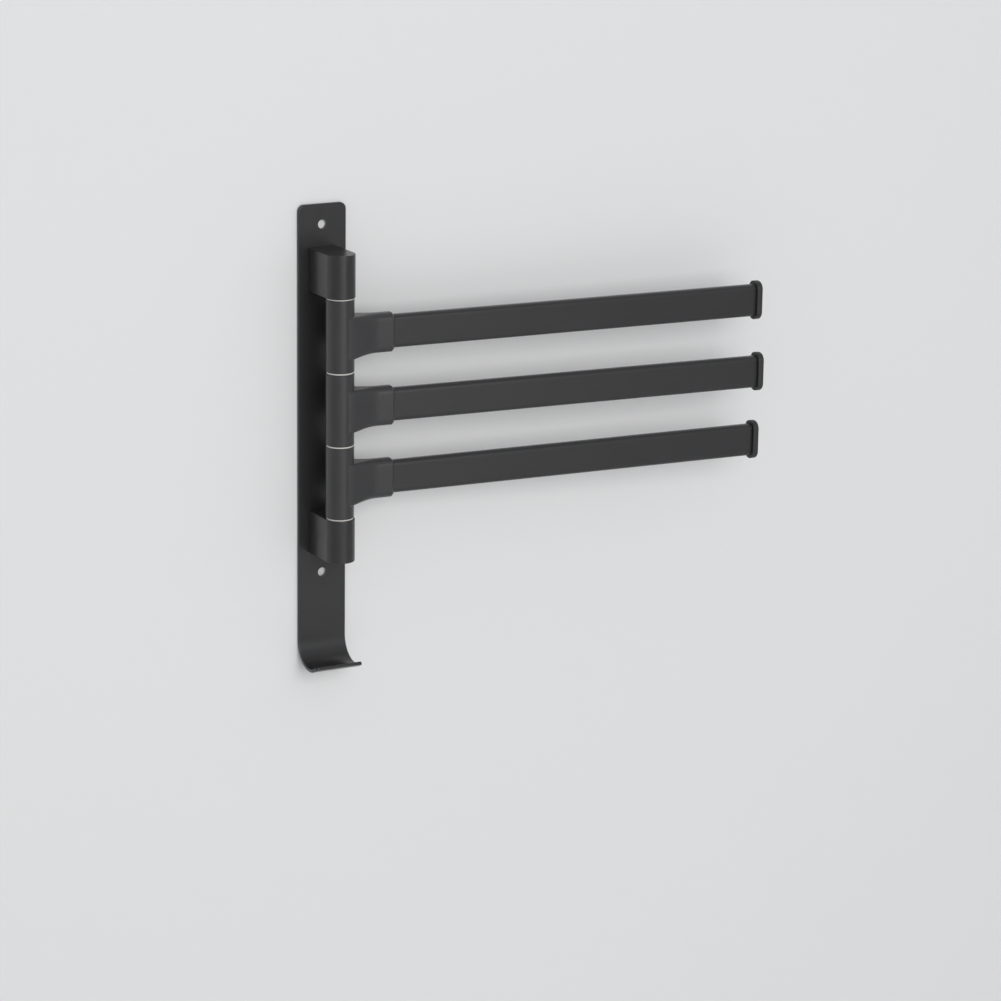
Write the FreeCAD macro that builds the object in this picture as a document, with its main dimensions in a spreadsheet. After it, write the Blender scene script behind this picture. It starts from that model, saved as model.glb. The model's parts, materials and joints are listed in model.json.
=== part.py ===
"""Wall-mounted swivel towel rack: a hooked back plate, two lugs, a pivot rod and three swing arms.

Frame: millimetres, +Z up, the wall face is Y = 0 and the rack stands out along -Y.
The origin lies on the wall face, midway between the two wall screw holes.
"""
import FreeCAD, Part
import math
import os
import re
import Sketcher

SIZES = {
    # Back plate and its hook
    "plate_width": 31.0,
    "plate_thickness": 2.0,
    "plate_corner_radius": 4.0,
    "wall_hole_spacing": 212.0,
    "wall_hole_diameter": 5.5,
    "plate_top_margin": 12.2,
    "hook_drop": 41.0,
    "hook_bend_radius": 14.0,
    "hook_lip_angle": 28.0,
    "hook_lip_length": 3.5,
    "hook_lip_corner_radius": 2.0,
    "plate_edge_radius": 0.4,
    # Lugs
    "pivot_distance": 26.0,
    "lug_diameter": 18.0,
    "lug_height": 26.0,
    "lug_roof": 7.0,
    "lug_edge_radius": 0.4,
    # Pivot rod, its retaining screw and the washers
    "rod_diameter": 8.0,
    "rod_seat_clearance": 0.05,
    "rod_running_clearance": 0.1,
    "retaining_screw_diameter": 10.0,
    "retaining_screw_length": 6.0,
    "retaining_screw_recess": 1.0,
    "retaining_screw_key": 5.0,
    "retaining_screw_key_depth": 3.0,
    "washer_thickness": 0.8,
    "washer_diameter": 16.0,
    "washer_bore_clearance": 0.2,
    # Arm hub and its socket
    "hub_diameter": 17.0,
    "hub_height": 43.4,
    "hub_edge_chamfer": 0.4,
    "socket_root_reach": 2.0,
    "socket_root_depth": 16.4,
    "socket_root_drop": 14.8,
    "socket_root_corner_radius": 1.6,
    "socket_taper_reach": 23.0,
    "socket_reach": 32.9,
    "socket_floor_reach": 9.0,
    "socket_wall": 1.5,
    "socket_brow": 1.5,
    "socket_sole": 2.1,
    "socket_corner_radius": 4.2,
    "socket_end_chamfer": 0.7,
    "socket_end_chamfer_length": 1.0,
    "tube_fit_clearance": 0.1,
    # Flat arm tube
    "arm_reach": 280.5,
    "tube_height": 20.0,
    "tube_depth": 7.0,
    "tube_wall": 1.0,
    "tube_corner_radius": 2.8,
    # End cap
    "cap_thickness": 4.0,
    "cap_overhang": 2.0,
    "cap_corner_radius": 5.0,
    "cap_edge_radius": 1.2,
    "cap_plug_length": 14.0,
    "cap_plug_clearance": 0.1,
    # Grub screw that holds the tube in its socket
    "grub_diameter": 3.0,
    "grub_sink": 0.2,
    "grub_key": 1.5,
    "grub_key_depth": 1.0,
    # Countersunk screws that hold a lug on the plate
    "lug_screw_diameter": 3.0,
    "lug_screw_length": 10.0,
    "lug_screw_head_diameter": 6.0,
    "lug_screw_head_height": 1.5,
    "lug_screw_spacing": 14.0,
    "lug_screw_key": 2.0,
    "lug_screw_key_depth": 1.0,
    "screw_clearance": 0.05,
    # Where the three arms stand in the rest position, in degrees out from the wall
    "upper_arm_swing": 3.2,
    "middle_arm_swing": 4.1,
    "lower_arm_swing": 3.3,
}

# Heights and distances that several pieces share
PITCH = "(hub_height + washer_thickness)"
STACK_TOP = f"(1.5 * {PITCH} + 0.5 * washer_thickness)"
PLATE_TOP = "(wall_hole_spacing / 2 + plate_top_margin)"
BEND_START = "(-wall_hole_spacing / 2 - hook_drop)"
LUG_RADIUS = "(lug_diameter / 2)"
LUG_MIDDLE = f"({STACK_TOP} + lug_height / 2)"
LUG_BOTTOM = f"(-{STACK_TOP} - lug_height)"
ROD_TOP = f"({STACK_TOP} + lug_height - lug_roof)"
RETAINING_BOTTOM = f"({LUG_BOTTOM} + retaining_screw_recess)"
ROD_BOTTOM = f"({RETAINING_BOTTOM} + retaining_screw_length)"
SEAT_RADIUS = "(rod_diameter / 2 + rod_seat_clearance)"
SOCKET_HALF_DEPTH = "(tube_depth / 2 + tube_fit_clearance + socket_wall)"
SOCKET_RISE = "(tube_height / 2 + tube_fit_clearance + socket_brow)"
SOCKET_DROP = "(tube_height / 2 + tube_fit_clearance + socket_sole)"
SOCKET_SHOULDER = "(socket_reach - socket_end_chamfer_length)"
GRUB_REACH = f"((socket_taper_reach + {SOCKET_SHOULDER}) / 2)"
CAP_INNER = "(arm_reach - cap_thickness)"
INNER_CORNER = "(tube_corner_radius - tube_wall)"

# Lengths closer than this count as equal, and faces that meet at more than this angle as a sharp edge
TOLERANCE = 1e-5
SHARP_ANGLE = math.radians(10)

# Sections that shape the gusset between a hub's barrel and its collar
GUSSET_SECTIONS = 6

ARMS = (("upper", 1), ("middle", 0), ("lower", -1))
WASHERS = (("top", 1.5), ("upper_middle", 0.5), ("middle_lower", -0.5), ("bottom", -1.5))
LUGS = (("upper", 1), ("lower", -1))

doc = FreeCAD.newDocument("swivel_towel_rack")
sheet = doc.addObject("Spreadsheet::Sheet", "Sizes")
parts = []


def fill_sheet():
    """Write every driving size into the sheet, one named cell each."""
    for row, (name, size) in enumerate(SIZES.items(), start=1):
        sheet.set(f"A{row}", name)
        sheet.set(f"B{row}", str(size))
        sheet.setAlias(f"B{row}", name)
    doc.recompute()


def formula(text):
    """Turn a formula of size names into one that reads the sheet."""
    return re.sub(r"[a-z]+(?:_[a-z]+)+", r"Sizes.\g<0>", text)


def number(text):
    """The present value of a formula of size names."""
    return float(sheet.evalExpression(formula(text)))


def bind(item, prop, text):
    """Tie one property of an object to the sheet."""
    item.setExpression(prop, formula(text))


def new_body(label):
    """An empty body for one sub-part."""
    body = doc.addObject("PartDesign::Body", label)
    body.Label = label
    parts.append(body)
    return body


def new_sketch(body, name, role, offset=None):
    """A sketch on one of the body's own origin planes, moved along its normal if asked."""
    sketch = body.newObject("Sketcher::SketchObject", name)
    plane = next(item for item in body.Origin.OriginFeatures if item.Role == role)
    sketch.AttachmentSupport = (plane, [""])
    sketch.MapMode = "FlatFace"
    if offset:
        bind(sketch, "AttachmentOffset.Base.z", offset)
    return sketch


def dimension(sketch, constraint, text):
    """Add a constraint and tie its value to the sheet."""
    index = sketch.addConstraint(constraint)
    bind(sketch, f"Constraints[{index}]", text)


def arc_between(start, end, radius):
    """The shorter arc from start to end; a positive radius turns to the left on the way."""
    chord = end - start
    rise = math.sqrt(radius**2 - (chord.Length / 2) ** 2)
    normal = FreeCAD.Vector(-chord.y, chord.x, 0).normalize()
    side = 1 if radius > 0 else -1
    centre = (start + end) * 0.5 + normal * rise * side
    middle = centre - normal * abs(radius) * side
    return Part.Arc(start, middle, end)


def outline(sketch, points):
    """Closed outline through (x, y) or (x, y, radius) formulas; a radius makes the way there an arc."""
    places = [FreeCAD.Vector(number(point[0]), number(point[1]), 0) for point in points]
    for index, point in enumerate(points):
        start, end = places[index - 1], places[index]
        start_id, end_id = 1, 2
        if len(point) == 3:
            radius = number(point[2])
            sketch.addGeometry(arc_between(start, end, radius))
            if radius < 0:
                start_id, end_id = 2, 1
            dimension(sketch, Sketcher.Constraint("Radius", index, abs(radius)), point[2].lstrip("-"))
        else:
            sketch.addGeometry(Part.LineSegment(start, end))
        for axis, text in zip("XY", point[:2]):
            value = number(text)
            dimension(sketch, Sketcher.Constraint("Distance" + axis, -1, 1, index, end_id, value), text)
        if index:
            sketch.addConstraint(Sketcher.Constraint("Coincident", index - 1, last_end, index, start_id))
        else:
            first_start = start_id
        last_end = end_id
    sketch.addConstraint(Sketcher.Constraint("Coincident", len(points) - 1, last_end, 0, first_start))


def rounded_rectangle(left, right, bottom, top, radius):
    """Points of a rectangle with four equal round corners."""
    return [
        (f"{right} - {radius}", bottom),
        (right, f"{bottom} + {radius}", radius),
        (right, f"{top} - {radius}"),
        (f"{right} - {radius}", top, radius),
        (f"{left} + {radius}", top),
        (left, f"{top} - {radius}", radius),
        (left, f"{bottom} + {radius}"),
        (f"{left} + {radius}", bottom, radius),
    ]


def centred_rectangle(half_width, half_height, radius):
    """Points of a round-cornered rectangle about the sketch's origin."""
    return rounded_rectangle(f"-{half_width}", half_width, f"-{half_height}", half_height, radius)


def circle(sketch, x, y, radius):
    """A circle whose centre and radius follow the sheet."""
    centre = FreeCAD.Vector(number(x), number(y), 0)
    index = sketch.addGeometry(Part.Circle(centre, FreeCAD.Vector(0, 0, 1), number(radius)))
    dimension(sketch, Sketcher.Constraint("Radius", index, number(radius)), radius)
    dimension(sketch, Sketcher.Constraint("DistanceX", -1, 1, index, 3, centre.x), x)
    dimension(sketch, Sketcher.Constraint("DistanceY", -1, 1, index, 3, centre.y), y)


def pad(body, sketch, length, symmetric=False):
    """Extrude a sketch along its normal, or half to each side."""
    feature = body.newObject("PartDesign::Pad", sketch.Name + "_pad")
    feature.Profile = sketch
    feature.Midplane = symmetric
    bind(feature, "Length", length)
    return feature


def pocket(body, sketch, length, along_normal=False):
    """Cut a sketch's outline out of the body, against its normal unless asked otherwise."""
    doc.recompute()
    before = body.Shape.Volume
    feature = body.newObject("PartDesign::Pocket", sketch.Name + "_pocket")
    feature.Profile = sketch
    feature.Reversed = along_normal
    bind(feature, "Length", length)
    doc.recompute()
    if body.Shape.Volume >= before:
        raise RuntimeError(f"{feature.Name} cuts nothing")
    return feature


def drill(body, name, radius, height, place, tip_radius=None):
    """Cut a round hole along +Y from a place, or a countersink where a second radius is given."""
    doc.recompute()
    before = body.Shape.Volume
    if tip_radius:
        feature = body.newObject("PartDesign::SubtractiveCone", name)
        bind(feature, "Radius1", radius)
        bind(feature, "Radius2", tip_radius)
    else:
        feature = body.newObject("PartDesign::SubtractiveCylinder", name)
        bind(feature, "Radius", radius)
    bind(feature, "Height", height)
    set_place(feature, place, along_y=True)
    doc.recompute()
    if body.Shape.Volume >= before:
        raise RuntimeError(f"{name} cuts nothing")


def set_place(item, place, along_y=False):
    """Put an object at three formulas; along_y lays its own Z axis along +Y."""
    if along_y:
        item.Placement = FreeCAD.Placement(FreeCAD.Vector(), FreeCAD.Rotation(FreeCAD.Vector(1, 0, 0), -90))
    for axis, text in zip("xyz", place):
        bind(item, f"Placement.Base.{axis}", text)


def round_edges(body, names, radius):
    """Fillet named edges or faces of the body's last feature."""
    base = body.Tip
    feature = body.newObject("PartDesign::Fillet", body.Name + "_rounding")
    feature.Base = (base, names)
    bind(feature, "Radius", radius)
    doc.recompute()
    return feature


def sharp_edges(shape):
    """Names of the edges where two faces meet at an angle."""
    names = []
    for index, edge in enumerate(shape.Edges, start=1):
        middle = edge.valueAt((edge.FirstParameter + edge.LastParameter) / 2)
        faces = shape.ancestorsOfType(edge, Part.Face)
        normals = [face.normalAt(*face.Surface.parameter(middle)) for face in faces]
        if len(normals) == 2 and normals[0].getAngle(normals[1]) > SHARP_ANGLE:
            names.append(f"Edge{index}")
    return names


def faces_facing(shape, direction):
    """Names of the flat faces whose outward normal is the given direction."""
    names = []
    for index, face in enumerate(shape.Faces, start=1):
        if isinstance(face.Surface, Part.Plane) and face.normalAt(0, 0).isEqual(direction, TOLERANCE):
            names.append(f"Face{index}")
    return names


def make_back_plate():
    """Flat strip with rounded upper corners, wall screw holes and a hook bent out of its lower end."""
    body = new_body("back_plate")
    half = "(plate_width / 2)"
    flat = new_sketch(body, "plate_flat", "XZ_Plane")
    outline(flat, [
        (half, BEND_START),
        (half, f"{PLATE_TOP} - plate_corner_radius"),
        (f"{half} - plate_corner_radius", PLATE_TOP, "plate_corner_radius"),
        (f"-{half} + plate_corner_radius", PLATE_TOP),
        (f"-{half}", f"{PLATE_TOP} - plate_corner_radius", "plate_corner_radius"),
        (f"-{half}", BEND_START),
    ])
    pad(body, flat, "plate_thickness")

    # The hook's side view: a bend through the lip angle past level, then a short straight lip
    outer = "(hook_bend_radius + plate_thickness)"
    lip_sine, lip_cosine = "sin(hook_lip_angle)", "cos(hook_lip_angle)"
    inner_y = f"(-{outer} - hook_bend_radius * {lip_sine})"
    inner_z = f"({BEND_START} - hook_bend_radius * {lip_cosine})"
    outer_y = f"(-{outer} - {outer} * {lip_sine})"
    outer_z = f"({BEND_START} - {outer} * {lip_cosine})"
    hook = new_sketch(body, "hook_side", "YZ_Plane")
    outline(hook, [
        ("0", BEND_START),
        (f"-{outer}", f"{BEND_START} - {outer}", f"-{outer}"),
        (outer_y, outer_z, f"-{outer}"),
        (f"{outer_y} - hook_lip_length * {lip_cosine}", f"{outer_z} + hook_lip_length * {lip_sine}"),
        (f"{inner_y} - hook_lip_length * {lip_cosine}", f"{inner_z} + hook_lip_length * {lip_sine}"),
        (inner_y, inner_z),
        (f"-{outer}", f"{BEND_START} - hook_bend_radius", "hook_bend_radius"),
        ("-plate_thickness", BEND_START, "hook_bend_radius"),
    ])
    pad(body, hook, "plate_width", symmetric=True)
    doc.recompute()
    thickness = number("plate_thickness")
    lip_corners = [name for name in sharp_edges(body.Shape)
                   if abs(body.Shape.getElement(name).Length - thickness) < TOLERANCE]
    round_edges(body, lip_corners, "hook_lip_corner_radius")
    round_edges(body, sharp_edges(body.Shape), "plate_edge_radius")

    holes = new_sketch(body, "wall_holes", "XZ_Plane")
    for side in ("", "-"):
        circle(holes, "0", f"{side}wall_hole_spacing / 2", "wall_hole_diameter / 2")
    pocket(body, holes, "plate_thickness", along_normal=True)

    head = "(lug_screw_head_diameter / 2 + screw_clearance)"
    shank = "(lug_screw_diameter / 2 + screw_clearance)"
    for lug, side in LUGS:
        for row in (-1, 1):
            height = lug_screw_height(side, row)
            name = f"{lug}_lug_screw_{'low' if row < 0 else 'high'}"
            drill(body, name + "_hole", shank, "plate_thickness", ("0", "-plate_thickness", height))
            drill(body, name + "_countersink", shank, "lug_screw_head_height",
                  ("0", "-lug_screw_head_height", height), tip_radius=head)


def lug_screw_height(side, row):
    """Height of a lug's lower or upper screw."""
    return f"({side} * {LUG_MIDDLE} + {row} * lug_screw_spacing / 2)"


def make_lug(label, side):
    """D-shaped block that stands on the plate and holds one end of the pivot rod."""
    body = new_body(label)
    bottom = STACK_TOP if side > 0 else LUG_BOTTOM
    profile = new_sketch(body, label + "_profile", "XY_Plane", bottom)
    outline(profile, [
        (f"-{LUG_RADIUS}", "-plate_thickness"),
        (f"-{LUG_RADIUS}", "-pivot_distance"),
        ("0", f"-pivot_distance - {LUG_RADIUS}", LUG_RADIUS),
        (LUG_RADIUS, "-pivot_distance", LUG_RADIUS),
        (LUG_RADIUS, "-plate_thickness"),
    ])
    pad(body, profile, "lug_height")
    doc.recompute()

    rims = [name for name in sharp_edges(body.Shape)
            if is_level(body.Shape.getElement(name)) and not on_plate(body.Shape.getElement(name))]
    round_edges(body, rims, "lug_edge_radius")

    seat = new_sketch(body, label + "_seat", "XY_Plane", STACK_TOP if side > 0 else f"-{STACK_TOP}")
    circle(seat, "0", "-pivot_distance", SEAT_RADIUS)
    if side > 0:
        pocket(body, seat, "lug_height - lug_roof", along_normal=True)
    else:
        pocket(body, seat, "lug_height")
        screw_seat = new_sketch(body, label + "_screw_seat", "XY_Plane", ROD_BOTTOM)
        circle(screw_seat, "0", "-pivot_distance", "retaining_screw_diameter / 2 + screw_clearance")
        pocket(body, screw_seat, f"{ROD_BOTTOM} - {LUG_BOTTOM}")

    for row in (-1, 1):
        depth = "(lug_screw_length - plate_thickness + screw_clearance)"
        place = ("0", f"-plate_thickness - {depth}", lug_screw_height(side, row))
        drill(body, f"{label}_screw_hole_{'low' if row < 0 else 'high'}",
              "lug_screw_diameter / 2 + screw_clearance", depth, place)


def is_level(edge):
    """True for an edge that keeps one height."""
    return edge.BoundBox.ZLength < TOLERANCE


def on_plate(edge):
    """True for an edge that lies against the plate's front face."""
    return edge.BoundBox.YMin > number("-plate_thickness") - TOLERANCE


def make_lug_screws(label, side):
    """The two countersunk screws of one lug, driven from behind the plate."""
    screws = []
    for row in (-1, 1):
        name = f"{label}_{'low' if row < 0 else 'high'}"
        height = lug_screw_height(side, row)
        shank = doc.addObject("Part::Cylinder", name + "_shank")
        bind(shank, "Radius", "lug_screw_diameter / 2")
        bind(shank, "Height", "lug_screw_length")
        set_place(shank, ("0", "-lug_screw_length", height), along_y=True)
        head = doc.addObject("Part::Cone", name + "_head")
        bind(head, "Radius1", "lug_screw_diameter / 2")
        bind(head, "Radius2", "lug_screw_head_diameter / 2")
        bind(head, "Height", "lug_screw_head_height")
        set_place(head, ("0", "-lug_screw_head_height", height), along_y=True)
        blank = doc.addObject("Part::Fuse", name + "_blank")
        blank.Base, blank.Tool = shank, head
        key = hex_key(name + "_key", "lug_screw_key", "lug_screw_key_depth")
        set_place(key, ("0", "-lug_screw_key_depth", height), along_y=True)
        screws.append(cut(name, blank, key))
    group = doc.addObject("Part::Compound", label)
    group.Label = label
    group.Links = screws
    parts.append(group)


def hex_key(name, across_flats, depth):
    """The six-sided recess of a screw's drive."""
    key = doc.addObject("Part::Prism", name)
    key.Polygon = 6
    bind(key, "Circumradius", f"{across_flats} / 2 / cos(30)")
    bind(key, "Height", depth)
    return key


def cut(name, base, tool):
    """One shape less another."""
    result = doc.addObject("Part::Cut", name)
    result.Base, result.Tool = base, tool
    return result


def make_pivot_rod():
    """Steel rod from the upper lug's blind seat down to the retaining screw."""
    body = new_body("pivot_rod")
    section = new_sketch(body, "rod_section", "XY_Plane", ROD_BOTTOM)
    circle(section, "0", "-pivot_distance", "rod_diameter / 2")
    pad(body, section, f"{ROD_TOP} - {ROD_BOTTOM}")


def make_retaining_screw():
    """Headless screw that closes the lower lug and carries the rod, with a hexagon drive below."""
    blank = doc.addObject("Part::Cylinder", "retaining_screw_blank")
    bind(blank, "Radius", "retaining_screw_diameter / 2")
    bind(blank, "Height", "retaining_screw_length")
    set_place(blank, ("0", "-pivot_distance", RETAINING_BOTTOM))
    key = hex_key("retaining_screw_hexagon", "retaining_screw_key", "retaining_screw_key_depth")
    set_place(key, ("0", "-pivot_distance", RETAINING_BOTTOM))
    screw = cut("rod_retaining_screw", blank, key)
    screw.Label = "rod_retaining_screw"
    parts.append(screw)


def make_washer(label, level):
    """Thin white ring between two neighbours on the rod."""
    body = new_body(label)
    ring = new_sketch(body, label + "_ring", "XY_Plane", f"{level} * {PITCH} - washer_thickness / 2")
    circle(ring, "0", "-pivot_distance", "washer_diameter / 2")
    circle(ring, "0", "-pivot_distance", "rod_diameter / 2 + washer_bore_clearance")
    pad(body, ring, "washer_thickness")


def stand_on_pivot(item, arm, level):
    """Place an arm's piece on the rod at its level, swung out to its rest position."""
    outward = FreeCAD.Rotation(FreeCAD.Vector(0, 0, -1), number(f"{arm}_arm_swing"))
    item.Placement = FreeCAD.Placement(FreeCAD.Vector(), outward)
    bind(item, "Placement.Base.y", "-pivot_distance")
    bind(item, "Placement.Base.z", f"{level} * {PITCH}")
    bind(item, "Placement.Rotation.Angle", f"{arm}_arm_swing")


def make_arm_hub(arm, level):
    """Cylinder on the rod with a socket for the tube, and a gusset that eases from one into the other."""
    label = f"{arm}_arm_hub"
    body = new_body(label)
    barrel = new_sketch(body, label + "_barrel", "XY_Plane", "-hub_height / 2")
    circle(barrel, "0", "0", "hub_diameter / 2")
    pad(body, barrel, "hub_height")
    doc.recompute()
    cylinder = body.Tip
    rims = [f"Edge{index}" for index, edge in enumerate(cylinder.Shape.Edges, start=1)
            if isinstance(edge.Curve, Part.Circle)]
    chamfer = body.newObject("PartDesign::Chamfer", label + "_rims")
    chamfer.Base = (cylinder, rims)
    bind(chamfer, "Size", "hub_edge_chamfer")
    doc.recompute()

    collar = rounded_rectangle(f"-{SOCKET_HALF_DEPTH}", SOCKET_HALF_DEPTH, f"-{SOCKET_DROP}", SOCKET_RISE,
                               "socket_corner_radius")
    gusset = []
    for index in range(GUSSET_SECTIONS):
        share = index / (GUSSET_SECTIONS - 1)
        reach = between("socket_root_reach", "socket_taper_reach", share)
        section = new_sketch(body, f"{label}_gusset_section_{index}", "YZ_Plane", reach)
        outline(section, gusset_section(share))
        gusset.append(section)
    join_sections(body, label + "_gusset", gusset)

    straight = new_sketch(body, label + "_collar", "YZ_Plane", "socket_taper_reach")
    outline(straight, collar)
    pad(body, straight, f"{SOCKET_SHOULDER} - socket_taper_reach")

    brim = new_sketch(body, label + "_brim", "YZ_Plane", SOCKET_SHOULDER)
    outline(brim, collar)
    lip = new_sketch(body, label + "_lip", "YZ_Plane", "socket_reach")
    outline(lip, rounded_rectangle(f"(-{SOCKET_HALF_DEPTH} + socket_end_chamfer)",
                                   f"({SOCKET_HALF_DEPTH} - socket_end_chamfer)",
                                   f"(-{SOCKET_DROP} + socket_end_chamfer)",
                                   f"({SOCKET_RISE} - socket_end_chamfer)",
                                   "(socket_corner_radius - socket_end_chamfer / 2)"))
    join_sections(body, label + "_end", [brim, lip])

    seat = new_sketch(body, label + "_seat", "YZ_Plane", "socket_reach")
    outline(seat, centred_rectangle("(tube_depth / 2 + tube_fit_clearance)",
                                    "(tube_height / 2 + tube_fit_clearance)",
                                    "(tube_corner_radius + tube_fit_clearance)"))
    pocket(body, seat, "socket_reach - socket_floor_reach")

    bore = new_sketch(body, label + "_bore", "XY_Plane", "hub_height / 2")
    circle(bore, "0", "0", "rod_diameter / 2 + rod_running_clearance")
    pocket(body, bore, "hub_height")

    drill(body, label + "_grub_hole", "grub_diameter / 2 + screw_clearance", SOCKET_HALF_DEPTH,
          (GRUB_REACH, "0", "0"))
    stand_on_pivot(body, arm, level)


def gusset_section(share):
    """Outline of the gusset at a share of its way from the barrel to the collar.

    Its sides leave the barrel level and ease into the collar; its underside sweeps up in one curve.
    """
    side_share = (1 - math.cos(math.pi * share)) / 2
    sweep_share = 1 - (1 - share) ** 2
    half = between("socket_root_depth / 2", SOCKET_HALF_DEPTH, side_share)
    drop = between("socket_root_drop", SOCKET_DROP, sweep_share)
    corner = between("socket_root_corner_radius", "socket_corner_radius", side_share)
    return rounded_rectangle(f"-{half}", half, f"-{drop}", SOCKET_RISE, corner)


def between(first, last, share):
    """A formula for the value at a share of the way from one formula to another."""
    return f"({1 - share:.6f} * ({first}) + {share:.6f} * ({last}))"


def join_sections(body, name, sections):
    """Solid through a row of sections, smooth from one to the next."""
    feature = body.newObject("PartDesign::AdditiveLoft", name)
    feature.Profile = sections[0]
    feature.Sections = sections[1:]
    doc.recompute()


def make_arm_tube(arm, level):
    """Flat tube with round corners, from the socket's floor to the cap."""
    label = f"{arm}_arm_tube"
    body = new_body(label)
    section = new_sketch(body, label + "_section", "YZ_Plane", "socket_floor_reach")
    outline(section, centred_rectangle("(tube_depth / 2)", "(tube_height / 2)", "tube_corner_radius"))
    pad(body, section, f"{CAP_INNER} - socket_floor_reach")
    hollow = new_sketch(body, label + "_hollow", "YZ_Plane", CAP_INNER)
    outline(hollow, centred_rectangle("(tube_depth / 2 - tube_wall)", "(tube_height / 2 - tube_wall)",
                                      INNER_CORNER))
    pocket(body, hollow, f"{CAP_INNER} - socket_floor_reach")
    stand_on_pivot(body, arm, level)


def make_arm_cap(arm, level):
    """End cap: a flange that stands proud of the tube all round, with a plug inside the tube."""
    label = f"{arm}_arm_cap"
    body = new_body(label)
    flange = new_sketch(body, label + "_flange", "YZ_Plane", CAP_INNER)
    outline(flange, centred_rectangle("(tube_depth / 2 + cap_overhang)", "(tube_height / 2 + cap_overhang)",
                                      "cap_corner_radius"))
    pad(body, flange, "cap_thickness")
    doc.recompute()
    round_edges(body, faces_facing(body.Shape, FreeCAD.Vector(1, 0, 0)), "cap_edge_radius")
    plug = new_sketch(body, label + "_plug", "YZ_Plane", f"{CAP_INNER} - cap_plug_length")
    outline(plug, centred_rectangle("(tube_depth / 2 - tube_wall - cap_plug_clearance)",
                                    "(tube_height / 2 - tube_wall - cap_plug_clearance)",
                                    f"({INNER_CORNER} - cap_plug_clearance)"))
    pad(body, plug, "cap_plug_length")
    stand_on_pivot(body, arm, level)


def make_grub_screw(arm, level):
    """Small headless screw through the socket's wall side, tight against the tube."""
    label = f"{arm}_arm_grub_screw"
    length = f"({SOCKET_HALF_DEPTH} - tube_depth / 2 - grub_sink)"
    blank = doc.addObject("Part::Cylinder", label + "_blank")
    bind(blank, "Radius", "grub_diameter / 2")
    bind(blank, "Height", length)
    set_place(blank, (GRUB_REACH, "tube_depth / 2", "0"), along_y=True)
    key = hex_key(label + "_hexagon", "grub_key", "grub_key_depth")
    set_place(key, (GRUB_REACH, f"tube_depth / 2 + {length} - grub_key_depth", "0"), along_y=True)
    screw = cut(label, blank, key)
    screw.Label = label
    stand_on_pivot(screw, arm, level)
    parts.append(screw)


def check_model():
    """Stop if any object failed or any sub-part has no sound shape."""
    for item in doc.Objects:
        if {"Invalid", "Error"} & set(item.State):
            raise RuntimeError(f"{item.Name} failed: {item.State}")
    for part in parts:
        if part.Shape.isNull() or not part.Shape.isValid() or not part.Shape.Solids:
            raise RuntimeError(f"{part.Label} has no sound solid")


def main():
    fill_sheet()
    make_back_plate()
    for lug, side in LUGS:
        make_lug(f"{lug}_lug", side)
        make_lug_screws(f"{lug}_lug_screws", side)
    make_pivot_rod()
    make_retaining_screw()
    for place, level in WASHERS:
        make_washer(f"{place}_washer", level)
    for arm, level in ARMS:
        make_arm_hub(arm, level)
        make_arm_tube(arm, level)
        make_arm_cap(arm, level)
        make_grub_screw(arm, level)
    doc.recompute()
    check_model()
    os.makedirs("parts", exist_ok=True)
    for part in parts:
        part.Shape.exportStep(os.path.join("parts", part.Label + ".step"))
        print(f"{part.Label}: {len(part.Shape.Solids)} solid, {part.Shape.Volume:.1f} mm3")


main()
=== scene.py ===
"""Swivel towel rack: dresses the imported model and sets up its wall, lamps and camera."""
import json
import math

import bmesh
import bpy
from bpy.props import FloatProperty, FloatVectorProperty, PointerProperty
from mathutils import Euler, Matrix, Vector


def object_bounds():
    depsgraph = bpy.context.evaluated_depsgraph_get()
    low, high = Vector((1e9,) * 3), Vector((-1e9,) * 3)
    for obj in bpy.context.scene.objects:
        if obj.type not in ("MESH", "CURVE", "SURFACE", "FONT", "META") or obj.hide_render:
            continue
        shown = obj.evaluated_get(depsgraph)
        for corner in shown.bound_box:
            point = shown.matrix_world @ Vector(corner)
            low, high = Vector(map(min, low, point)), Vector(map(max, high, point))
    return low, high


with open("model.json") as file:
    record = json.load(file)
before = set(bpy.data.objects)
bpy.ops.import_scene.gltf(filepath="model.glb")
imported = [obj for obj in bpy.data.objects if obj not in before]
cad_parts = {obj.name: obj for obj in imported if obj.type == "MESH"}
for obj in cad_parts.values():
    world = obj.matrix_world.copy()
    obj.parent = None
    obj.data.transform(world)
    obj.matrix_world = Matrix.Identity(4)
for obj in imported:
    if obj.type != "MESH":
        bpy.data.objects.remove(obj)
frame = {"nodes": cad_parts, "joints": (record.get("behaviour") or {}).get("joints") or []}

bl_info = {
    "name": "Swivel Towel Rack",
    "version": (1, 0, 0),
    "blender": (4, 5, 0),
    "location": "View3D > Sidebar > Towel Rack",
    "description": "Dresses a swivel towel rack and sets up its wall, lamps and camera",
    "category": "Object",
}

CAD_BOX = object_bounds()
MM = 0.001

ARMS = ("upper", "middle", "lower")
LUGS = ("upper_lug", "lower_lug")
HUBS = tuple(f"{arm}_arm_hub" for arm in ARMS)
TUBES = tuple(f"{arm}_arm_tube" for arm in ARMS)
CAPS = tuple(f"{arm}_arm_cap" for arm in ARMS)
WASHERS = tuple(name for name in frame["nodes"] if name.endswith("_washer"))
PIVOT = ("pivot_rod", "rod_retaining_screw")
SCREWS = tuple(f"{lug}_screws" for lug in LUGS) + tuple(f"{arm}_arm_grub_screw" for arm in ARMS)

# The arms rest this far out from the wall's direction, on average: each joint's range starts at the wall
REST_ANGLE = math.radians(-sum(joint["range_deg"][0] for joint in frame["joints"]) / len(frame["joints"]))

# Nearly all values of a noise texture lie between these two
NOISE_LOW, NOISE_HIGH = 0.3, 0.7

# The width of one band of a wave texture at scale 1
WAVE_BAND = math.tau / 20

# Rays that find the edges near a point, for their softness
EDGE_SAMPLES = 6

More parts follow.
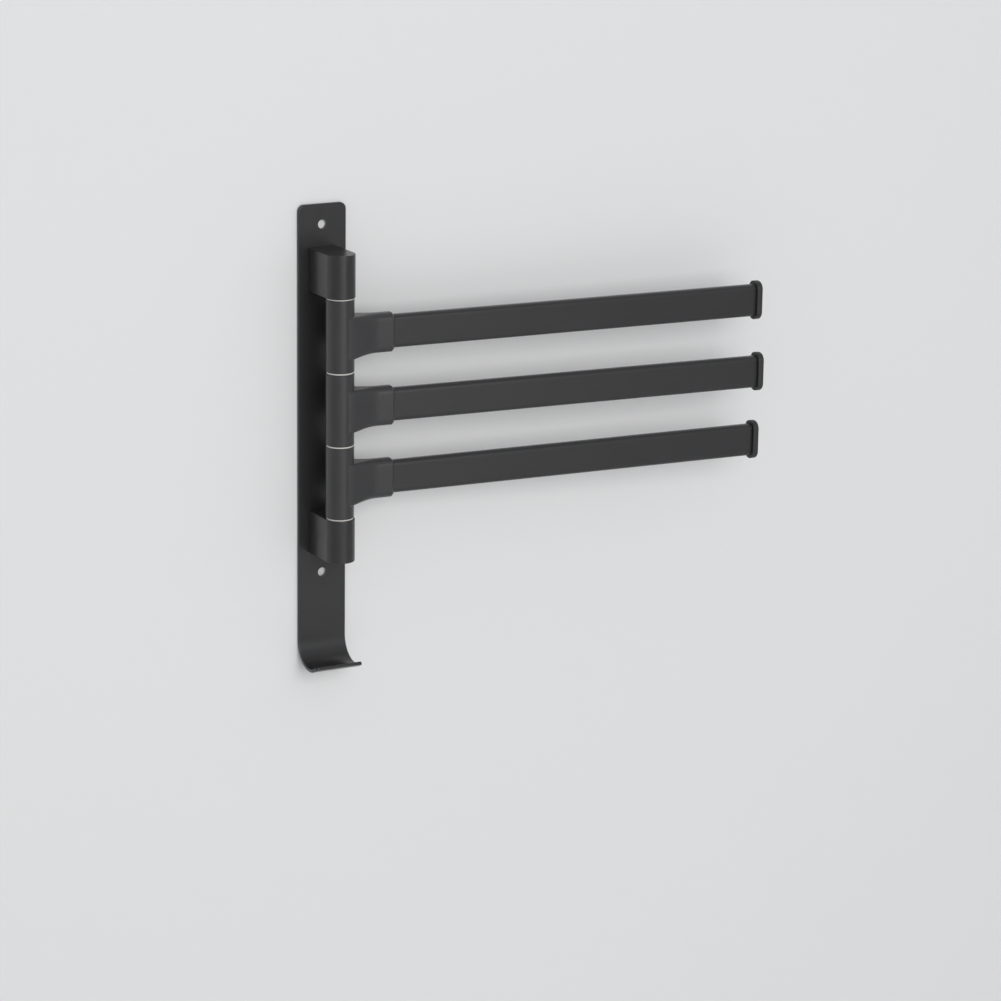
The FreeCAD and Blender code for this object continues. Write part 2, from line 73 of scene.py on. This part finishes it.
# Typical refractive indices of a baked coat and of two plastics
POLYESTER_IOR = 1.5
ABS_IOR = 1.53
NYLON_IOR = 1.53

# How unevenly the rings of a turned surface run
RING_DISTORTION = 0.4

# Strips in the bend between wall and floor
COVE_STEPS = 16


def linear(hex_colour):
    """An sRGB hex colour as the linear red, green and blue that shaders take."""
    channels = [int(hex_colour[start:start + 2], 16) / 255 for start in (0, 2, 4)]
    return tuple(c / 12.92 if c <= 0.04045 else ((c + 0.055) / 1.055) ** 2.4 for c in channels)


def colour_property(name, description, hex_colour):
    """A colour that a user can change, given as an sRGB hex value."""
    return FloatVectorProperty(name=name, description=description, subtype="COLOR", size=3, min=0, max=1,
                               default=linear(hex_colour))


def length_property(name, description, default):
    """A length in metres that a user can change."""
    return FloatProperty(name=name, description=description, unit="LENGTH", precision=6, min=0,
                         default=default)


def angle_property(name, description, degrees):
    """An angle that a user can change, given in degrees."""
    return FloatProperty(name=name, description=description, subtype="ANGLE", default=math.radians(degrees))


def power_property(name, description, watts):
    """The power of a lamp that a user can change."""
    return FloatProperty(name=name, description=description, unit="POWER", min=0, default=watts)


def share_property(name, description, default):
    """A share from 0 to 1 that a user can change."""
    return FloatProperty(name=name, description=description, subtype="FACTOR", min=0, max=1, default=default)


class RackFinish(bpy.types.PropertyGroup):
    """Colours and surface grain of the rack's materials."""

    coat_colour: colour_property("Coat colour", "Black powder coat of the plate, lugs and tubes", "272728")
    # The hubs wear the same black coat as the lugs. Their paler tone is painted light: it stands in for light
    # from the right that the lamps don't give them.
    hub_colour_painted_lighter: colour_property("Hub colour", "Black powder coat of the hubs, from a paler batch", "313132")
    coat_roughness: share_property("Coat roughness", "Roughness of the powder coat", 0.3)
    coat_roughness_change: share_property("Coat roughness change", "How much the grain changes it", 0.01)
    coat_grain: length_property("Coat grain", "Width of the coat's fine bumps", 0.6 * MM)
    coat_grain_depth: length_property("Coat grain depth", "Height of the coat's fine bumps", 0.003 * MM)
    coat_cloud: length_property("Coat cloud", "Width of the coat's slow changes of tone", 22 * MM)
    coat_cloud_change: share_property("Coat cloud change", "How much the tone changes", 0.06)
    edge_softness: length_property("Edge softness", "Radius that the coat gives to a sharp edge", 0.35 * MM)
    casting_swell: length_property("Casting swell", "Width of the slow waves of a cast surface", 9 * MM)
    casting_swell_depth: length_property("Casting swell depth", "Height of the slow waves", 0.05 * MM)
    draw_line: length_property("Draw line", "Width of the lines that a drawn tube has along it", 1.3 * MM)
    draw_line_stretch: FloatProperty(name="Draw line stretch", description="Length of a line over its width",
                                     min=1, default=60)
    draw_line_depth: length_property("Draw line depth", "Depth of the lines along a drawn tube", 0.01 * MM)
    cap_colour: colour_property("Cap colour", "Black plastic of the end caps", "202021")
    cap_roughness: share_property("Cap roughness", "Roughness of the end caps", 0.46)
    cap_roughness_change: share_property("Cap roughness change", "How much the grain changes it", 0.05)
    cap_grain: length_property("Cap grain", "Width of the moulded grain of the end caps", 0.7 * MM)
    cap_grain_depth: length_property("Cap grain depth", "Depth of the moulded grain", 0.01 * MM)
    cap_grain_change: share_property("Cap grain change", "How much the grain changes the tone", 0.06)
    nylon_colour: colour_property("Nylon colour", "Milky white of the washers", "C8C6C0")
    nylon_roughness: share_property("Nylon roughness", "Roughness of the washers", 0.45)
    nylon_cloud: length_property("Nylon cloud", "Width of the changes of tone in the nylon", 3 * MM)
    nylon_cloud_change: share_property("Nylon cloud change", "How much the tone changes", 0.04)
    nylon_depth: length_property("Nylon depth", "How far light goes into the nylon", 0.6 * MM)
    nylon_share: share_property("Nylon share", "Share of the light that goes into the nylon", 0.25)
    steel_colour: colour_property("Steel colour", "Turned steel of the rod and its screw", "B5B6B8")
    steel_roughness: share_property("Steel roughness", "Roughness of the turned steel", 0.3)
    steel_roughness_change: share_property("Steel roughness change", "How much the rings change it", 0.06)
    steel_ring: length_property("Steel ring", "Width of the turned rings", 1.9 * MM)
    steel_ring_depth: length_property("Steel ring depth", "Depth of the turned rings", 0.004 * MM)
    zinc_colour: colour_property("Zinc colour", "Zinc plate of the small screws", "A9ABAE")
    zinc_roughness: share_property("Zinc roughness", "Roughness of the zinc plate", 0.39)
    zinc_roughness_change: share_property("Zinc roughness change", "How much the bloom changes it", 0.07)
    zinc_bloom: length_property("Zinc bloom", "Width of the patches of bloom on the zinc", 0.8 * MM)
    zinc_bloom_change: share_property("Zinc bloom change", "How much the bloom changes the tone", 0.09)


class RackStage(bpy.types.PropertyGroup):
    """Wall, floor, lamps and camera around the rack."""

    wall_colour: colour_property("Wall colour", "Pale matt paint of the wall and floor", "DEDEDE")
    wall_gap: length_property("Wall gap", "Gap between the plate and the wall", 0.3 * MM)
    clear_reach: length_property("Clear reach", "Distance within which the wall is clear to the rack", 3 * MM)
    half_width: length_property("Half width", "Reach of the wall and floor to each side", 6.0)
    wall_height: length_property("Wall height", "Height of the wall above the rack's middle", 4.0)
    floor_drop: length_property("Floor drop", "Depth of the floor below the rack's middle", 0.75)
    floor_reach: length_property("Floor reach", "Reach of the floor into the room", 9.0)
    cove_radius: length_property("Cove radius", "Radius of the bend between wall and floor", 0.25)
    ambient_colour: colour_property("Ambient colour", "Even light from all round", "C4C5C7")
    lamp_distance: length_property("Lamp distance", "Distance of the lamps from the rack", 2.6)
    key_size: length_property("Key size", "Side of the square front lamp", 1.5)
    key_power: power_property("Key power", "Power of the front lamp", 32.5)
    key_azimuth: angle_property("Key azimuth", "Direction of the front lamp, from straight ahead", -6)
    key_elevation: angle_property("Key elevation", "Height of the front lamp", 15)
    card_size: length_property("Card size", "Side of the square reflector card", 0.8)
    card_power: power_property("Card power", "Light that the low reflector card gives", 1.6)
    card_azimuth: angle_property("Card azimuth", "Direction of the reflector card", 10)
    card_elevation: angle_property("Card elevation", "Height of the reflector card", -12)
    camera_place: FloatVectorProperty(name="Camera place", description="Where the camera stands",
                                      subtype="TRANSLATION", default=(-0.9088, -1.8794, 0.4896))
    camera_yaw: angle_property("Camera yaw", "How far the camera looks to the right", 28.764)
    camera_pitch: angle_property("Camera pitch", "How far the camera looks down", 14.784)
    camera_roll: angle_property("Camera roll", "How far the camera leans to its left", 0.783)
    camera_lens: FloatProperty(name="Camera lens", description="Focal length on a 36 mm sensor",
                               unit="CAMERA", default=129.5)


def add_node(tree, kind, inputs, **settings):
    """Add one node with its settings and its inputs. A node as an input gives its first output."""
    node = tree.nodes.new(kind)
    for name, value in settings.items():
        setattr(node, name, value)
    for name, value in inputs.items():
        source = value.outputs[0] if isinstance(value, bpy.types.Node) else value
        if isinstance(source, bpy.types.NodeSocket):
            tree.links.new(source, node.inputs[name])
        else:
            node.inputs[name].default_value = value
    return node


def spread(middle, change):
    """The range that a pattern is mapped to: a change each way from a middle value."""
    return {"From Min": NOISE_LOW, "From Max": NOISE_HIGH,
            "To Min": middle - change, "To Max": middle + change}


def new_material(name):
    """An empty node material and its tree."""
    material = bpy.data.materials.new(name)
    material.use_nodes = True
    material.node_tree.nodes.clear()
    return material, material.node_tree


def rack_material(name, finish):
    """A new material of the rack, with the place on its piece and the normals of its softened edges."""
    material, tree = new_material(name)
    place = add_node(tree, "ShaderNodeTexCoord", {}).outputs["Object"]
    edges = add_node(tree, "ShaderNodeBevel", {"Radius": finish.edge_softness}, samples=EDGE_SAMPLES)
    return material, tree, place, edges


def mottle(tree, pattern, colour, change):
    """A colour whose brightness follows a pattern."""
    tone = add_node(tree, "ShaderNodeMapRange", {"Value": pattern, **spread(1, change)})
    return add_node(tree, "ShaderNodeHueSaturation", {"Value": tone, "Color": (*colour, 1)})


def dress(names, material):
    """Give the named pieces of the frame a material."""
    for name in names:
        for slot in frame["nodes"][name].material_slots:
            slot.material = material


def powder_coat(tree, place, finish, colour, metal):
    """Satin black polyester powder coat, baked on: a fine orange-peel grain and a faint cloud of tone.

    The real grain is about 0.3 mm wide. It is drawn twice as wide so that it shows.
    """
    grain = add_node(tree, "ShaderNodeTexNoise",
                     {"Vector": place, "Scale": 1 / finish.coat_grain, "Detail": 1})
    cloud = add_node(tree, "ShaderNodeTexNoise",
                     {"Vector": place, "Scale": 1 / finish.coat_cloud, "Detail": 4})
    black = mottle(tree, cloud, colour, finish.coat_cloud_change)
    gloss = add_node(tree, "ShaderNodeMapRange",
                     {"Value": grain, **spread(finish.coat_roughness, finish.coat_roughness_change)})
    peel = add_node(tree, "ShaderNodeBump",
                    {"Height": grain, "Distance": finish.coat_grain_depth, "Normal": metal})
    coat = add_node(tree, "ShaderNodeBsdfPrincipled",
                    {"Base Color": black, "Roughness": gloss, "Normal": peel, "IOR": POLYESTER_IOR})
    add_node(tree, "ShaderNodeOutputMaterial", {"Surface": coat})


def coated_sheet(finish):
    """Powder-coated aluminium sheet, cut and bent: flat and even, so only the coat shows."""
    material, tree, place, metal = rack_material("powder_coated_sheet", finish)
    powder_coat(tree, place, finish, finish.coat_colour, metal)
    return material


def coated_casting(name, finish, colour):
    """Powder-coated die casting: the coat follows the slow waves that a cast and polished surface keeps."""
    material, tree, place, metal = rack_material(name, finish)
    swell = add_node(tree, "ShaderNodeTexNoise",
                     {"Vector": place, "Scale": 1 / finish.casting_swell, "Detail": 1})
    waves = add_node(tree, "ShaderNodeBump",
                     {"Height": swell, "Distance": finish.casting_swell_depth, "Normal": metal})
    powder_coat(tree, place, finish, colour, waves)
    return material


def coated_tube(finish):
    """Powder-coated drawn tube: faint lines run along it under the coat.

    Real lines are under 0.5 mm wide. They are drawn wider so that they show.
    """
    material, tree, place, metal = rack_material("powder_coated_tube", finish)
    along = add_node(tree, "ShaderNodeMapping", {"Vector": place, "Rotation": (0, 0, REST_ANGLE),
                                                 "Scale": (1 / finish.draw_line_stretch, 1, 1)})
    lines = add_node(tree, "ShaderNodeTexNoise",
                     {"Vector": along, "Scale": 1 / finish.draw_line, "Detail": 2})
    drawn = add_node(tree, "ShaderNodeBump",
                     {"Height": lines, "Distance": finish.draw_line_depth, "Normal": metal})
    powder_coat(tree, place, finish, finish.coat_colour, drawn)
    return material


def moulded_plastic(finish):
    """Black ABS, injection moulded: a little rougher and darker than the coat, with a fine eroded grain.

    The real grain is about 0.1 mm wide. It is drawn much wider so that it shows.
    """
    material, tree, place, edges = rack_material("moulded_black_plastic", finish)
    grain = add_node(tree, "ShaderNodeTexNoise",
                     {"Vector": place, "Scale": 1 / finish.cap_grain, "Detail": 1})
    colour = mottle(tree, grain, finish.cap_colour, finish.cap_grain_change)
    gloss = add_node(tree, "ShaderNodeMapRange",
                     {"Value": grain, **spread(finish.cap_roughness, finish.cap_roughness_change)})
    eroded = add_node(tree, "ShaderNodeBump",
                      {"Height": grain, "Distance": finish.cap_grain_depth, "Normal": edges})
    plastic = add_node(tree, "ShaderNodeBsdfPrincipled",
                       {"Base Color": colour, "Roughness": gloss, "Normal": eroded, "IOR": ABS_IOR})
    add_node(tree, "ShaderNodeOutputMaterial", {"Surface": plastic})
    return material


def natural_nylon(finish):
    """Natural nylon, punched from sheet: milky white that lets a little light in."""
    material, tree = new_material("natural_nylon")
    place = add_node(tree, "ShaderNodeTexCoord", {}).outputs["Object"]
    cloud = add_node(tree, "ShaderNodeTexNoise",
                     {"Vector": place, "Scale": 1 / finish.nylon_cloud, "Detail": 2})
    colour = mottle(tree, cloud, finish.nylon_colour, finish.nylon_cloud_change)
    nylon = add_node(tree, "ShaderNodeBsdfPrincipled", {
        "Base Color": colour,
        "Roughness": finish.nylon_roughness,
        "IOR": NYLON_IOR,
        "Subsurface Weight": finish.nylon_share,
        "Subsurface Radius": (1, 1, 1),
        "Subsurface Scale": finish.nylon_depth,
    })
    add_node(tree, "ShaderNodeOutputMaterial", {"Surface": nylon})
    return material


def turned_steel(finish):
    """Bright steel, turned on a lathe: fine rings round the upright axis.

    Real rings are about 0.1 mm wide. They are drawn much wider so that they show.
    """
    material, tree, place, edges = rack_material("turned_steel", finish)
    wave = add_node(tree, "ShaderNodeTexWave", {
        "Vector": place,
        "Scale": WAVE_BAND / finish.steel_ring,
        "Distortion": RING_DISTORTION,
        "Detail": 2,
    }, bands_direction="Z")
    rings = wave.outputs["Fac"]
    gloss = add_node(tree, "ShaderNodeMapRange",
                     {"Value": rings, **spread(finish.steel_roughness, finish.steel_roughness_change)})
    turned = add_node(tree, "ShaderNodeBump",
                      {"Height": rings, "Distance": finish.steel_ring_depth, "Normal": edges})
    steel = add_node(tree, "ShaderNodeBsdfPrincipled", {
        "Base Color": (*finish.steel_colour, 1),
        "Metallic": 1,
        "Roughness": gloss,
        "Normal": turned,
    })
    add_node(tree, "ShaderNodeOutputMaterial", {"Surface": steel})
    return material


def zinc_plated_steel(finish):
    """Zinc-plated screw steel, tumbled: dull silver with a fine uneven bloom."""
    material, tree, place, edges = rack_material("zinc_plated_steel", finish)
    bloom = add_node(tree, "ShaderNodeTexNoise",
                     {"Vector": place, "Scale": 1 / finish.zinc_bloom, "Detail": 3})
    colour = mottle(tree, bloom, finish.zinc_colour, finish.zinc_bloom_change)
    gloss = add_node(tree, "ShaderNodeMapRange",
                     {"Value": bloom, **spread(finish.zinc_roughness, finish.zinc_roughness_change)})
    zinc = add_node(tree, "ShaderNodeBsdfPrincipled",
                    {"Base Color": colour, "Metallic": 1, "Roughness": gloss, "Normal": edges})
    add_node(tree, "ShaderNodeOutputMaterial", {"Surface": zinc})
    return material


def wall_paint(stage):
    """Pale matt paint, clear from behind so that the rack's back can be looked at.

    It is also clear to what lies close against it, so that the back has light.
    """
    material, tree = new_material("pale_matt_paint")
    paint = add_node(tree, "ShaderNodeBsdfDiffuse", {"Color": (*stage.wall_colour, 1)})
    clear = add_node(tree, "ShaderNodeBsdfTransparent", {})
    side = add_node(tree, "ShaderNodeNewGeometry", {})
    ray = add_node(tree, "ShaderNodeLightPath", {})
    close = add_node(tree, "ShaderNodeMath", {0: ray.outputs["Ray Length"], 1: stage.clear_reach},
                     operation="LESS_THAN")
    unseen = add_node(tree, "ShaderNodeMath", {0: side.outputs["Backfacing"], 1: close}, operation="MAXIMUM")
    mix = add_node(tree, "ShaderNodeMixShader", {0: unseen, 1: paint, 2: clear})
    add_node(tree, "ShaderNodeOutputMaterial", {"Surface": mix})
    return material


def edges_of(geometry):
    """The edges among what a mesh operator returns."""
    return [item for item in geometry if isinstance(item, bmesh.types.BMEdge)]


def build_backdrop(stage):
    """One sheet: a wall behind the plate, a cove, and a floor that runs out into the room."""
    sheet = bmesh.new()
    cove_top = stage.cove_radius - stage.floor_drop
    ends = [sheet.verts.new((side * stage.half_width, stage.wall_gap, stage.wall_height)) for side in (-1, 1)]
    edge = sheet.edges.new(ends)

    wall = edges_of(bmesh.ops.extrude_edge_only(sheet, edges=[edge])["geom"])
    bmesh.ops.translate(sheet, verts=wall[0].verts, vec=(0, 0, cove_top - stage.wall_height))
    cove = bmesh.ops.spin(sheet, geom=wall, cent=(0, stage.wall_gap - stage.cove_radius, cove_top),
                          axis=(1, 0, 0), angle=-math.pi / 2, steps=COVE_STEPS)
    floor = edges_of(bmesh.ops.extrude_edge_only(sheet, edges=edges_of(cove["geom_last"]))["geom"])
    bmesh.ops.translate(sheet, verts=floor[0].verts, vec=(0, -stage.floor_reach, 0))

    # The painted side faces the room
    bmesh.ops.recalc_face_normals(sheet, faces=sheet.faces)
    sheet.faces.ensure_lookup_table()
    if sheet.faces[0].normal.y > 0:
        bmesh.ops.reverse_faces(sheet, faces=sheet.faces)
    for face in sheet.faces:
        face.smooth = True
    mesh = bpy.data.meshes.new("backdrop")
    sheet.to_mesh(mesh)
    sheet.free()
    mesh.materials.append(wall_paint(stage))
    backdrop = bpy.data.objects.new("backdrop", mesh)
    bpy.context.scene.collection.objects.link(backdrop)


def add_lamp(stage, name):
    """A square soft lamp that looks at the rack's middle from a direction."""
    azimuth, elevation = getattr(stage, name + "_azimuth"), getattr(stage, name + "_elevation")
    data = bpy.data.lights.new(name, "AREA")
    data.size = getattr(stage, name + "_size")
    data.energy = getattr(stage, name + "_power")
    lamp = bpy.data.objects.new(name, data)
    direction = Vector((math.sin(azimuth) * math.cos(elevation), -math.cos(azimuth) * math.cos(elevation),
                        math.sin(elevation)))
    lamp.location = sum(CAD_BOX, Vector()) / 2 + direction * stage.lamp_distance
    lamp.rotation_euler = direction.to_track_quat("Z", "Y").to_euler()
    bpy.context.scene.collection.objects.link(lamp)


def light_room(stage):
    """Even light from all round, with a soft lamp and a low reflector card in front."""
    world = bpy.data.worlds.new("room_light")
    world.use_nodes = True
    tree = world.node_tree
    tree.nodes.clear()
    room = add_node(tree, "ShaderNodeBackground", {"Color": (*stage.ambient_colour, 1), "Strength": 1})
    add_node(tree, "ShaderNodeOutputWorld", {"Surface": room})
    bpy.context.scene.world = world
    for name in ("key", "card"):
        add_lamp(stage, name)


def place_camera(stage):
    """A long lens at the photograph's viewing angle."""
    data = bpy.data.cameras.new("camera")
    data.lens = stage.camera_lens
    camera = bpy.data.objects.new("camera", data)
    camera.location = stage.camera_place
    level = Euler((math.pi / 2 - stage.camera_pitch, 0, -stage.camera_yaw)).to_matrix()
    camera.rotation_euler = (level @ Matrix.Rotation(stage.camera_roll, 3, "Z")).to_euler()
    bpy.context.scene.collection.objects.link(camera)
    bpy.context.scene.camera = camera


class TOWEL_RACK_OT_back_plate(bpy.types.Operator):
    """Coat the back plate and its hook"""

    bl_idname = "towel_rack.back_plate"
    bl_label = "Back plate"

    def execute(self, context):
        dress(("back_plate",), coated_sheet(context.scene.rack_finish))
        return {"FINISHED"}


class TOWEL_RACK_OT_castings(bpy.types.Operator):
    """Coat the two lugs and the three arm hubs"""

    bl_idname = "towel_rack.castings"
    bl_label = "Lugs and hubs"

    def execute(self, context):
        finish = context.scene.rack_finish
        dress(LUGS, coated_casting("powder_coated_lug_casting", finish, finish.coat_colour))
        # The hubs get the paler coat tone, which is painted light for the light from the right that the lamps
        # leave out.
        dress(HUBS, coated_casting("powder_coated_hub_casting", finish, finish.hub_colour_painted_lighter))
        return {"FINISHED"}


class TOWEL_RACK_OT_tubes(bpy.types.Operator):
    """Coat the three flat arm tubes"""

    bl_idname = "towel_rack.tubes"
    bl_label = "Arm tubes"

    def execute(self, context):
        dress(TUBES, coated_tube(context.scene.rack_finish))
        return {"FINISHED"}


class TOWEL_RACK_OT_caps(bpy.types.Operator):
    """Give the end caps their moulded plastic"""

    bl_idname = "towel_rack.caps"
    bl_label = "End caps"

    def execute(self, context):
        dress(CAPS, moulded_plastic(context.scene.rack_finish))
        return {"FINISHED"}


class TOWEL_RACK_OT_washers(bpy.types.Operator):
    """Give the washers their white nylon"""

    bl_idname = "towel_rack.washers"
    bl_label = "Washers"

    def execute(self, context):
        dress(WASHERS, natural_nylon(context.scene.rack_finish))
        return {"FINISHED"}


class TOWEL_RACK_OT_fasteners(bpy.types.Operator):
    """Give the pivot rod and all screws their steel"""

    bl_idname = "towel_rack.fasteners"
    bl_label = "Rod and screws"

    def execute(self, context):
        dress(PIVOT, turned_steel(context.scene.rack_finish))
        dress(SCREWS, zinc_plated_steel(context.scene.rack_finish))
        return {"FINISHED"}


class TOWEL_RACK_OT_stage(bpy.types.Operator):
    """Set up the wall, the floor, the lamps and the camera"""

    bl_idname = "towel_rack.stage"
    bl_label = "Stage"

    def execute(self, context):
        stage = context.scene.rack_stage
        build_backdrop(stage)
        light_room(stage)
        place_camera(stage)
        context.scene.view_settings.view_transform = "Standard"
        return {"FINISHED"}


OPERATORS = (TOWEL_RACK_OT_back_plate, TOWEL_RACK_OT_castings, TOWEL_RACK_OT_tubes, TOWEL_RACK_OT_caps,
             TOWEL_RACK_OT_washers, TOWEL_RACK_OT_fasteners, TOWEL_RACK_OT_stage)


class TOWEL_RACK_PT_panel(bpy.types.Panel):
    """Lists the rack's pieces, their finishes and the stage"""

    bl_idname = "TOWEL_RACK_PT_panel"
    bl_label = "Towel Rack"
    bl_space_type = "VIEW_3D"
    bl_region_type = "UI"
    bl_category = "Towel Rack"

    def draw(self, context):
        for operator in OPERATORS:
            self.layout.operator(operator.bl_idname)
        for group in (context.scene.rack_finish, context.scene.rack_stage):
            column = self.layout.column()
            for name in group.__annotations__:
                column.prop(group, name)


CLASSES = (RackFinish, RackStage) + OPERATORS + (TOWEL_RACK_PT_panel,)


def register():
    for item in CLASSES:
        bpy.utils.register_class(item)
    bpy.types.Scene.rack_finish = PointerProperty(type=RackFinish)
    bpy.types.Scene.rack_stage = PointerProperty(type=RackStage)


def unregister():
    del bpy.types.Scene.rack_stage
    del bpy.types.Scene.rack_finish
    for item in reversed(CLASSES):
        bpy.utils.unregister_class(item)


def main():
    """Register the classes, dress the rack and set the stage."""
    register()
    bpy.ops.towel_rack.back_plate()
    bpy.ops.towel_rack.castings()
    bpy.ops.towel_rack.tubes()
    bpy.ops.towel_rack.caps()
    bpy.ops.towel_rack.washers()
    bpy.ops.towel_rack.fasteners()
    bpy.ops.towel_rack.stage()


if __name__ == "__main__":
    main()
